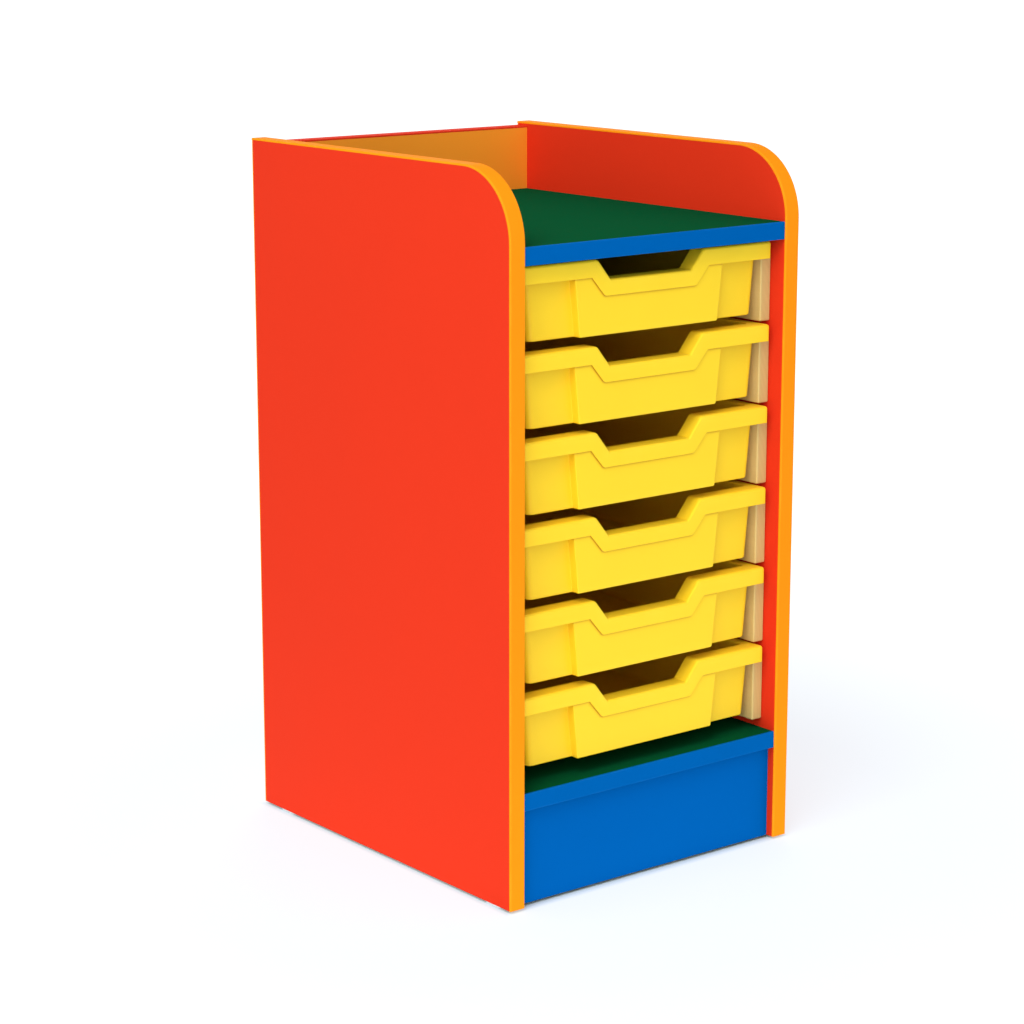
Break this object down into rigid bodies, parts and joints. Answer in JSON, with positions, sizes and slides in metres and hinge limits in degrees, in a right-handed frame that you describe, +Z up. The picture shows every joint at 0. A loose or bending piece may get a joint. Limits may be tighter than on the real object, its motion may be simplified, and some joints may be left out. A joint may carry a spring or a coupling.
{
  "type": "classroom tray storage unit",
  "caption": "Narrow floor-standing school storage unit with pull-out shallow trays on wooden runners, a top shelf between raised rounded sides, and a plinth.",
  "frame": {"origin": "on the floor, under the middle of the unit", "axes": "+Z up, the open front faces -Y, +X to the right as seen from the front"},
  "size_m": [0.374, 0.437, 0.732],
  "materials": {
    "red_board": "red faced chipboard, fine satin texture",
    "amber_board": "amber faced chipboard, fine satin texture",
    "green_board": "green faced chipboard, fine satin texture",
    "blue_board": "blue faced chipboard, fine satin texture",
    "amber_edge": "satin plastic edge strip",
    "blue_edge": "satin plastic edge strip",
    "red_edge": "satin plastic edge strip",
    "tray_plastic": "moulded polypropylene, soft gloss",
    "runner_wood": "clear lacquered pale wood",
    "screw_steel": "zinc plated",
    "glide_plastic": "matt white plastic",
    "dowel_wood": "plain beech"
  },
  "bodies": {
    "carcass": {"left_side_panel": "red_board", "left_side_edge_band": "amber_edge", "right_side_panel": "red_board", "right_side_edge_band": "amber_edge", "back_panel": "amber_board", "back_panel_edge_band": "red_edge", "top_shelf": "green_board", "bottom_shelf": "green_board", "top_shelf_edge_band": "blue_edge", "bottom_shelf_edge_band": "blue_edge", "plinth": "blue_board", "left_runner_1": "runner_wood", "left_runner_2": "runner_wood", "left_runner_3": "runner_wood", "left_runner_4": "runner_wood", "left_runner_5": "runner_wood", "left_runner_6": "runner_wood", "left_runner_screw_1": "screw_steel", "left_runner_screw_2": "screw_steel", "left_runner_screw_3": "screw_steel", "left_runner_screw_4": "screw_steel", "left_runner_screw_5": "screw_steel", "left_runner_screw_6": "screw_steel", "glide_left_front": "glide_plastic", "glide_left_rear": "glide_plastic", "left_top_shelf_dowel_front": "dowel_wood", "left_top_shelf_dowel_rear": "dowel_wood", "left_bottom_shelf_dowel_front": "dowel_wood", "left_bottom_shelf_dowel_rear": "dowel_wood", "left_plinth_dowel": "dowel_wood", "left_back_panel_dowel_lower": "dowel_wood", "left_back_panel_dowel_upper": "dowel_wood", "right_runner_1": "runner_wood", "right_runner_2": "runner_wood", "right_runner_3": "runner_wood", "right_runner_4": "runner_wood", "right_runner_5": "runner_wood", "right_runner_6": "runner_wood", "right_runner_screw_1": "screw_steel", "right_runner_screw_2": "screw_steel", "right_runner_screw_3": "screw_steel", "right_runner_screw_4": "screw_steel", "right_runner_screw_5": "screw_steel", "right_runner_screw_6": "screw_steel", "glide_right_front": "glide_plastic", "glide_right_rear": "glide_plastic", "right_top_shelf_dowel_front": "dowel_wood", "right_top_shelf_dowel_rear": "dowel_wood", "right_bottom_shelf_dowel_front": "dowel_wood", "right_bottom_shelf_dowel_rear": "dowel_wood", "right_plinth_dowel": "dowel_wood", "right_back_panel_dowel_lower": "dowel_wood", "right_back_panel_dowel_upper": "dowel_wood"},
    "tray_1_body": {"tray_1": "tray_plastic"},
    "tray_2_body": {"tray_2": "tray_plastic"},
    "tray_3_body": {"tray_3": "tray_plastic"},
    "tray_4_body": {"tray_4": "tray_plastic"},
    "tray_5_body": {"tray_5": "tray_plastic"},
    "tray_6_body": {"tray_6": "tray_plastic"}
  },
  "joints": [
    {"name": "tray_1_slide", "type": "slide", "parent": "carcass", "child": "tray_1_body", "axis": [0, -1, 0], "range_m": [0, 0.3]},
    {"name": "tray_2_slide", "type": "slide", "parent": "carcass", "child": "tray_2_body", "axis": [0, -1, 0], "range_m": [0, 0.3]},
    {"name": "tray_3_slide", "type": "slide", "parent": "carcass", "child": "tray_3_body", "axis": [0, -1, 0], "range_m": [0, 0.3]},
    {"name": "tray_4_slide", "type": "slide", "parent": "carcass", "child": "tray_4_body", "axis": [0, -1, 0], "range_m": [0, 0.3]},
    {"name": "tray_5_slide", "type": "slide", "parent": "carcass", "child": "tray_5_body", "axis": [0, -1, 0], "range_m": [0, 0.3]},
    {"name": "tray_6_slide", "type": "slide", "parent": "carcass", "child": "tray_6_body", "axis": [0, -1, 0], "range_m": [0, 0.3]}
  ]
}
